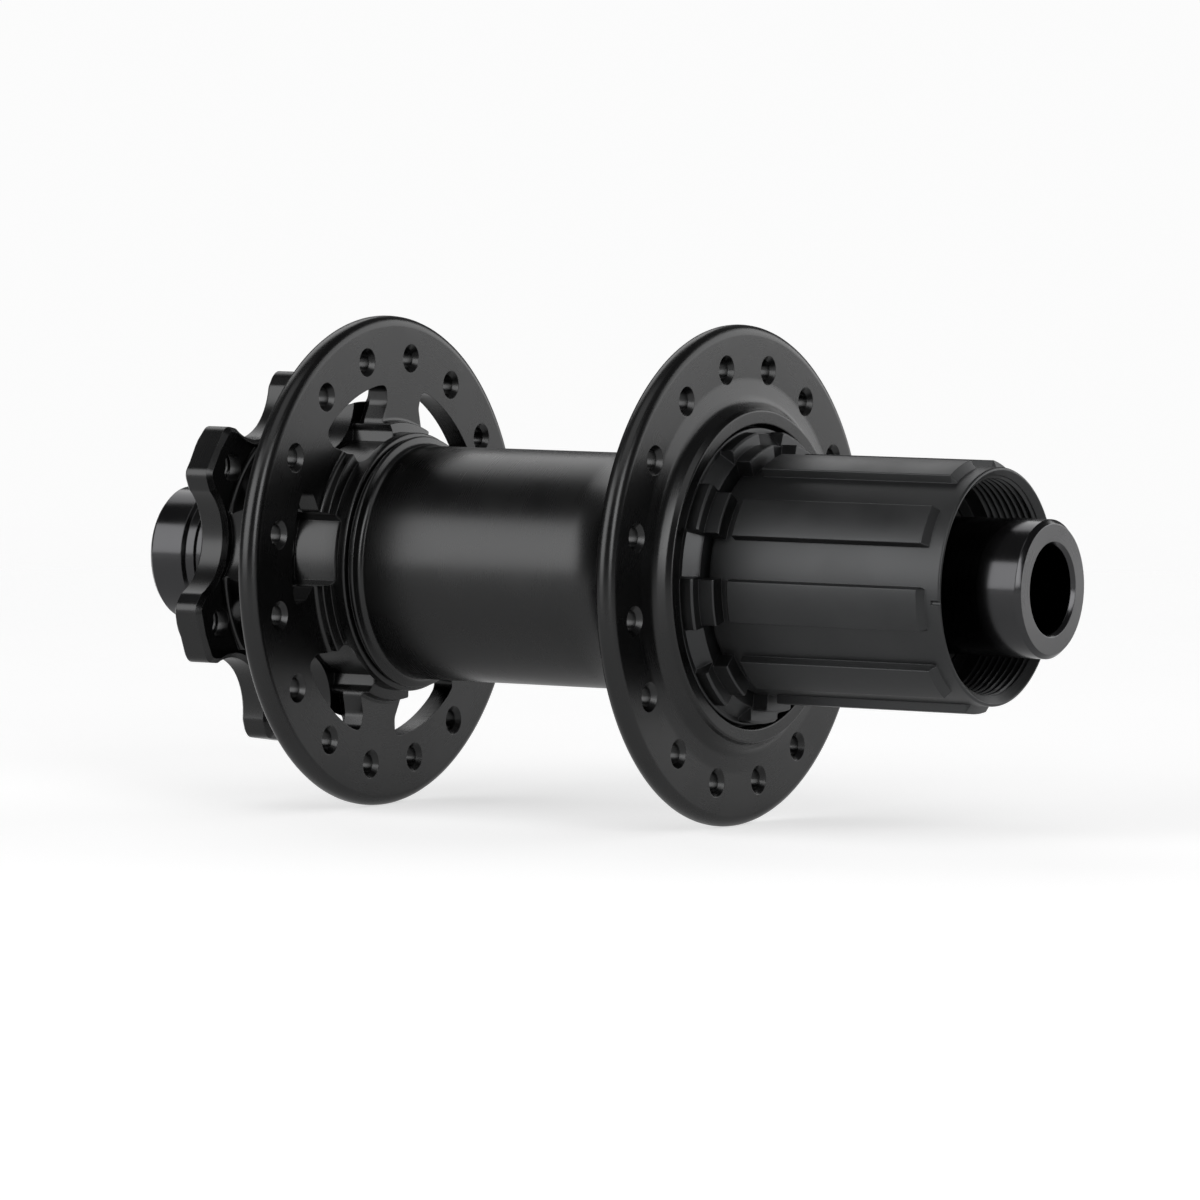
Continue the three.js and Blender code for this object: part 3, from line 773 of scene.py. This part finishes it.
def boring_bar():
    """Opens the bore from end to end: bearing seats, circlip groove, seal seat, thread."""
    top, bottom = HUB.high + PAST, HUB.low - PAST
    seat_r, seat_end = 12.08, -26.9
    corners = [
        (0, top),
        (HUB_BORE_R, top),
        (HUB_BORE_R, seat_end),
        (seat_r, seat_end),
        (seat_r, CIRCLIP.high + END_ROOM),
        (CIRCLIP.outer + FIT, CIRCLIP.high + END_ROOM),
        (CIRCLIP.outer + FIT, CIRCLIP.low - END_ROOM),
        (END_SEAL.outer + FIT, CIRCLIP.low - END_ROOM),
        (END_SEAL.outer + FIT, SEAL_SEAT_END),
        (14.2, SEAL_SEAT_END),
        (THREAD_R - 0.55, THREAD_START + 0.3),
        (THREAD_R - 0.55, bottom),
        (0, bottom),
    ]
    return Solid().lathe(corners).object("boring_bar")


def lockring_tap():
    tap = Solid().thread_cutter(
        THREAD_R, THREAD_R - 0.6, THREAD_PITCH, HUB.low - PAST, THREAD_START, facets=192
    )
    return tap.object("lockring_tap")


def mouth_chamfer():
    low, high = HUB.low - PAST, HUB.low + 1.3
    cone = [(0, low), (THREAD_R + 1.6, low), (THREAD_R - 0.7, high), (0, high)]
    return Solid().lathe(cone).object("mouth_chamfer")


def rim_notch():
    """The one small slot across the freehub's end rim."""
    low, high, radius = HUB.low - 0.4, HUB.low + 1.4, 0.33
    rod = [(0, low), (radius, low), (radius, high), (0, high)]
    return Solid().lathe(rod, 24, polar(SPLINE_ROOT_R + 0.1, 184.5)).object("rim_notch")


def freehub_body():
    core = freehub_core()
    join(core, ridges(), *lobes())
    cut(core, boring_bar(), lockring_tap(), mouth_chamfer(), rim_notch(), *pawl_pockets())
    return piece(core, "freehub", ["freehub_body"], SATIN)


def pawl_pockets():
    corners = [
        (-1.3, 16.6),
        (-1.3, PAWL_PIVOT_R, 1.2),
        (0.2, 12.6, 1.0),
        (1.6, POCKET_FLOOR_R, 0.2),
        (6.2, POCKET_FLOOR_R, 0.5),
        (6.6, 16.6),
    ]
    outline = rounded(corners, step=10)
    cutters = []
    for angle in around(PAWLS, PAWL_ANGLE, float):
        section = turned_to(outline, angle)
        cutters.append(Solid().prism([(y, section) for y in PAWL_POCKET]).object("pawl_pocket"))
    return cutters


# ---- End caps, cover, seals and retainers -------------------------------------------------------


def end_cap(name, extent, side, grooved):
    """A sleeve over the axle with a chamfer at the dropout face and at the bore.

    Corners are given by their depth below the dropout face. A groove inside holds the O-ring.
    """
    face = extent.high if side > 0 else extent.low
    length = extent.high - extent.low
    bore, outer = extent.inner, extent.outer
    corners = [(bore, 0.55, 0.1), (bore + 0.45, 0, 0.08), (outer - 0.6, 0, 0.1), (outer, 0.65, 0.15)]
    if grooved:
        corners += [
            (outer, 5.6, 0.12),
            (outer - 0.5, 6.1, 0.1),
            (outer - 0.5, 7.4, 0.1),
            (outer - 0.8, 7.7, 0.1),
        ]
    else:
        corners += [(outer, 6.6, 0.05), (outer - 0.1, 6.7, 0.05)]
    last = corners[-1][0]
    corners += [
        (last, length, 0.2),
        (AXLE_SEAT_R, length, 0.2),
        (AXLE_SEAT_R, 13.8, 0),
        (8.35, 13.8, 0.05),
        (8.35, 12.2, 0.05),
        (AXLE_SEAT_R, 12.2, 0),
        (AXLE_SEAT_R, 10.7, 0),
        (bore, 10.7, 0.2),
    ]
    outline = rounded([(r, face - side * depth, f) for r, depth, f in corners], step=15)
    made = Solid().lathe(outline, MEDIUM * 3 // 2).object(f"end_cap_{name}_turned")
    piece(made, "axle_assembly", [f"end_cap_{name}"], CAP_GLOSS)
    # Painted highlight: the flat dropout face gets the lighter copy of the anodising, in place of the
    # brightness the lights give it.
    made.data.materials.append(CAP_FACE_PAINTED_HIGHLIGHT)
    for polygon in made.data.polygons:
        if abs(polygon.center.y / MM - face) < 0.05:
            polygon.material_index = 1


def turned_piece(name, corners, body, node, slot, facets=MEDIUM):
    made = Solid().lathe(rounded(corners, step=15), facets).object(name)
    return piece(made, body, [node], SLOT_FINISH[slot])


def covers_and_seals():
    c, lip, e, ring = COVER, LIP, END_SEAL, CIRCLIP
    turned_piece(
        "left_dust_cover_turned",
        [
            (c.inner, c.low, 0.1),
            (c.outer, c.low, 0.1),
            (c.outer, c.high, 0.25),
            (c.outer - 1.2, c.high, 0.1),
            (c.outer - 1.5, c.high - 0.35, 0.1),
            (c.inner + 1.2, c.high - 0.35, 0.1),
            (c.inner + 0.9, c.high, 0.1),
            (c.inner, c.high, 0.2),
        ],
        "shell",
        "left_dust_cover",
        "gloss_anodised",
    )
    turned_piece(
        "freehub_lip_seal_moulded",
        [
            (lip.inner, lip.low + 0.2, 0.15),
            (lip.inner + 0.9, lip.low + 0.45, 0.3),
            (lip.inner + 1.6, lip.low, 0.2),
            (lip.outer, lip.low, 0.15),
            (lip.outer, lip.high, 0.15),
            (lip.inner + 1.5, lip.high, 0.2),
            (lip.inner, lip.low + 0.65, 0.12),
        ],
        "shell",
        "freehub_lip_seal",
        "rubber",
    )
    turned_piece(
        "freehub_end_seal_moulded",
        [
            (e.inner, e.low + 0.9, 0.1),
            (e.inner + 0.5, e.low + 0.4, 0.2),
            (e.inner + 1.1, e.low + 0.3, 0.1),
            (e.inner + 1.3, e.low, 0.1),
            (e.outer, e.low, 0.2),
            (e.outer, e.high, 0.1),
            (e.inner, e.high, 0.2),
        ],
        "freehub",
        "freehub_end_seal",
        "rubber",
    )
    section = [
        (ring.inner, ring.low, 0.15),
        (ring.outer, ring.low, 0.15),
        (ring.outer, ring.high, 0.15),
        (ring.inner, ring.high, 0.15),
    ]
    clip = Solid().lathe(rounded(section), MEDIUM).object("bearing_circlip_formed")
    gap = [(-3, -9), (-3, -14), (3, -14), (3, -9)]
    split = Solid().prism([(ring.low - PAST, gap), (ring.high + PAST, gap)]).object("circlip_split")
    cut(clip, split)
    piece(clip, "freehub", ["bearing_circlip"], SPRING)


# ---- Bearings -----------------------------------------------------------------------------------

SHIELD_BODIES = {
    "shell_bearing_right": ("shell", "shell_right_cage"),
    "shell_bearing_left": ("shell", "shell_left_cage"),
    "freehub_bearing_inner": ("freehub", "freehub_inner_cage"),
    "freehub_bearing_outer": ("freehub", "freehub_outer_cage"),
}


def race_corners(bore, face, low, high, ball_r, pitch_r):
    """A race's section. The groove fits the balls with a little room."""
    middle, groove_r = (low + high) / 2, ball_r + 0.2
    toward = 1 if face < pitch_r else -1
    groove = []
    reach = math.sqrt(max(0.01, groove_r**2 - (pitch_r - face) ** 2))
    sweep = math.asin(min(1, reach / groove_r))
    for i in range(9):
        a = sweep * (2 * i / 8 - 1)
        groove.append((pitch_r - toward * groove_r * math.cos(a), middle + groove_r * math.sin(a), 0))
    return [(bore, low, 0.3), (face, low, 0.12), *groove, (face, high, 0.12), (bore, high, 0.3)]


def bearing(name):
    inner, outer = BEARINGS[name]
    cage = Extent(f"{name}_ball_cage")
    outer_body, cage_body = SHIELD_BODIES[name]
    pitch_r = (inner.inner + outer.outer) / 2
    ball = SHELL_BALL if name.startswith("shell") else FREEHUB_BALL
    ball_r = ball["radius"]
    inner_face, outer_face = inner.inner + ball["wall"], outer.outer - ball["wall"]
    turned_piece(
        f"{name}_inner_race_ground",
        race_corners(inner.inner, inner_face, inner.low, inner.high, ball_r, pitch_r),
        "axle_assembly",
        f"{name}_inner_race",
        "bearing_steel",
    )
    turned_piece(
        f"{name}_outer_race_ground",
        race_corners(outer.outer, outer_face, outer.low, outer.high, ball_r, pitch_r),
        outer_body,
        f"{name}_outer_race",
        "bearing_steel",
    )
    for side, sign in (("disc_side", 1), ("drive_side", -1)):
        seal = Extent(f"{name}_seal_{side}")
        out_face, in_face = (seal.high, seal.low) if sign > 0 else (seal.low, seal.high)
        low_r, high_r = seal.inner, seal.outer
        turned_piece(
            f"{name}_seal_{side}_moulded",
            [
                (low_r, out_face - sign * 0.2, 0.08),
                (low_r + 0.7, out_face - sign * 0.12, 0.08),
                (low_r + 0.9, out_face, 0.08),
                (high_r - 0.7, out_face, 0.08),
                (high_r - 0.5, out_face - sign * 0.15, 0.08),
                (high_r, out_face - sign * 0.15, 0.08),
                (high_r, in_face, 0.05),
                (low_r, in_face, 0.05),
            ],
            outer_body,
            f"{name}_seal_{side}",
            "rubber",
        )
    ball_cage(name, cage, cage_body, pitch_r, ball_r)


def ball_cage(name, cage, body, pitch_r, ball_r):
    """Balls in a moulded ring. They turn as one piece about the axle."""
    half = ball_r * 0.55
    thick = ball_r * 0.28
    middle = cage.middle
    corners = [
        (pitch_r - thick, middle - half, 0.15),
        (pitch_r + thick, middle - half, 0.15),
        (pitch_r + thick, middle + half, 0.15),
        (pitch_r - thick, middle + half, 0.15),
    ]
    ring = Solid().lathe(rounded(corners, step=20), MEDIUM).object(f"{name}_ball_cage_moulded")
    balls = Solid()
    rows = 14
    for angle in around(BALLS, 0, float):
        x, z = polar(pitch_r, angle)
        arc = [
            (ball_r * math.sin(math.pi * i / rows), middle - ball_r * math.cos(math.pi * i / rows))
            for i in range(rows + 1)
        ]
        balls.lathe(arc, 24, (x, z))
    join(ring, balls.object("balls"))
    piece(ring, body, [f"{name}_ball_cage"], NYLON)
    ring.data.materials.append(STEEL)
    edge = ball_r * 0.93
    for face in ring.data.polygons:
        x, y, z = face.center / MM
        turn = math.degrees(math.atan2(z, x))
        nearest = polar(pitch_r, round(turn * BALLS / 360) * 360 / BALLS)
        if math.dist((x, y, z), (nearest[0], middle, nearest[1])) > edge and (
            abs(math.hypot(x, z) - pitch_r) > thick + 0.02 or abs(y - middle) > half + 0.02
        ):
            face.material_index = 1


# ---- Everything else keeps its CAD mesh -----------------------------------------------------------


def finish_cad_nodes():
    """Gives each CAD node the finish of its material slot."""
    slot_of = {part["node"]: part["material_slot"] for part in frame["record"]["subparts"]}
    for name, node in frame["nodes"].items():
        node.data.materials.clear()
        node.data.materials.append(SLOT_FINISH[slot_of[name]])


# ---- Stage, light and camera ----------------------------------------------------------------------


FLOOR_GLOW = 0.30  # the paper's own light, which keeps it white
PAPER_LIFT = 0.29  # further glow that only the camera sees
BACKDROP = 0.97
AMBIENT = 0.10
FADE = (0.22, 0.75)  # metres from the hub over which the paper melts into the backdrop


def stage_floor():
    """A sheet of white paper at the lowest point of the flanges, melting into the backdrop."""
    build = bmesh.new()
    bmesh.ops.create_grid(build, x_segments=40, y_segments=40, size=2.5)
    mesh = bpy.data.meshes.new("studio_floor")
    build.to_mesh(mesh)
    build.free()
    floor = bpy.data.objects.new("studio_floor", mesh)
    floor.location.z = -FLANGE_R * MM
    bpy.context.scene.collection.objects.link(floor)
    n = Nodes("studio_paper")
    paper = n.noise(n.place, 40, detail=3)
    n.wire(n.mixed(paper, (0.60, 0.60, 0.60), (0.62, 0.62, 0.62)), n.shader.inputs["Base Color"])
    n.set(roughness=1.0)
    n.shader.inputs["Specular IOR Level"].default_value = 0.0
    n.shader.inputs["Emission Color"].default_value = (1, 1, 1, 1)
    seen = n.add("LightPath").outputs["Is Camera Ray"]
    glow = n.math("MULTIPLY_ADD", seen, PAPER_LIFT, FLOOR_GLOW)
    n.wire(glow, n.shader.inputs["Emission Strength"])
    length = n.add("VectorMath", operation="LENGTH")
    n.wire(n.place, length.inputs[0])
    fade = n.add("MapRange", interpolation_type="SMOOTHSTEP")
    n.wire(length.outputs["Value"], fade.inputs["Value"])
    fade.inputs["From Min"].default_value, fade.inputs["From Max"].default_value = FADE
    clear = n.add("BsdfTransparent")
    mix = n.add("MixShader")
    n.wire(n.math("MULTIPLY", fade.outputs[0], seen), mix.inputs["Fac"])
    n.wire(n.shader.outputs[0], mix.inputs[1])
    n.wire(clear.outputs[0], mix.inputs[2])
    n.wire(mix.outputs[0], n.output.inputs["Surface"])
    floor.data.materials.append(n.material)


def surroundings():
    world = bpy.data.worlds.new("studio")
    bpy.context.scene.world = world
    world.use_nodes = True
    tree = world.node_tree
    tree.nodes.clear()
    out = tree.nodes.new("ShaderNodeOutputWorld")
    mix = tree.nodes.new("ShaderNodeMixShader")
    path = tree.nodes.new("ShaderNodeLightPath")
    seen, felt = tree.nodes.new("ShaderNodeBackground"), tree.nodes.new("ShaderNodeBackground")
    seen.inputs["Color"].default_value = (BACKDROP, BACKDROP, BACKDROP, 1)
    felt.inputs["Color"].default_value = (AMBIENT, AMBIENT, AMBIENT * 1.02, 1)
    tree.links.new(path.outputs["Is Camera Ray"], mix.inputs["Fac"])
    tree.links.new(felt.outputs[0], mix.inputs[1])
    tree.links.new(seen.outputs[0], mix.inputs[2])
    tree.links.new(mix.outputs[0], out.inputs["Surface"])


def softbox(name, azimuth, elevation, distance, width, height, radiance):
    """An area light at a bearing from the object, in degrees from +X towards +Y, facing it."""
    data = bpy.data.lights.new(name, "AREA")
    data.shape = "RECTANGLE"
    data.size, data.size_y = width, height
    data.energy = radiance * width * height * math.pi
    light = bpy.data.objects.new(name, data)
    a, e = math.radians(azimuth), math.radians(elevation)
    toward = Vector((math.cos(a) * math.cos(e), math.sin(a) * math.cos(e), math.sin(e)))
    light.location = toward * distance
    light.rotation_euler = toward.to_track_quat("Z", "Y").to_euler()
    light.visible_camera = False
    bpy.context.scene.collection.objects.link(light)


def lights():
    softbox("left_softbox", 148, 21, 0.9, 0.60, 0.65, 2.9)
    softbox("right_card", -31, 17, 1.2, 1.1, 0.75, 2.0)
    softbox("front_softbox", -127, 22, 1.0, 0.42, 0.65, 4.0)
    softbox("top_softbox", 190, 66, 1.1, 0.9, 0.9, 0.8)
    softbox("back_card", 50, 42, 1.2, 0.9, 0.6, 1.5)


# Angles in degrees, distances in metres, the lens in millimetres on a 36 mm sensor.
CAMERA = {
    "azimuth": -58.378,
    "elevation": 3.960,
    "roll": 0.163,
    "distance": 1.2012,
    "lens": 257.6,
    "aim_right": 0.002438,
    "aim_up": -0.004319,
    "aim_along_hub": 0.00384,
}


def camera():
    a, e, roll = (math.radians(CAMERA[k]) for k in ("azimuth", "elevation", "roll"))
    back = Vector((math.sin(a) * math.cos(e), -math.cos(a) * math.cos(e), math.sin(e)))
    level = Vector((math.cos(a), math.sin(a), 0))
    upright = back.cross(level)
    right = level * math.cos(roll) + upright * math.sin(roll)
    up = upright * math.cos(roll) - level * math.sin(roll)
    aim = right * CAMERA["aim_right"] + up * CAMERA["aim_up"]
    aim += Vector((0, CAMERA["aim_along_hub"], 0))
    data = bpy.data.cameras.new("camera")
    data.sensor_width = 36
    data.lens = CAMERA["lens"]
    data.clip_start, data.clip_end = 0.05, 50
    cam = bpy.data.objects.new("camera", data)
    turn = Matrix((right, up, back)).transposed().to_4x4()
    cam.matrix_world = Matrix.Translation(aim + back * CAMERA["distance"]) @ turn
    bpy.context.scene.collection.objects.link(cam)
    bpy.context.scene.camera = cam


# ---- Assembly -------------------------------------------------------------------------------------

camera()
finish_cad_nodes()
hub_shell()
freehub_body()
end_cap("left", CAP_LEFT, 1, True)
end_cap("right", CAP_RIGHT, -1, False)
covers_and_seals()
for bearing_name in BEARINGS:
    bearing(bearing_name)
stage_floor()
surroundings()
lights()
bpy.context.scene.view_settings.view_transform = "Standard"
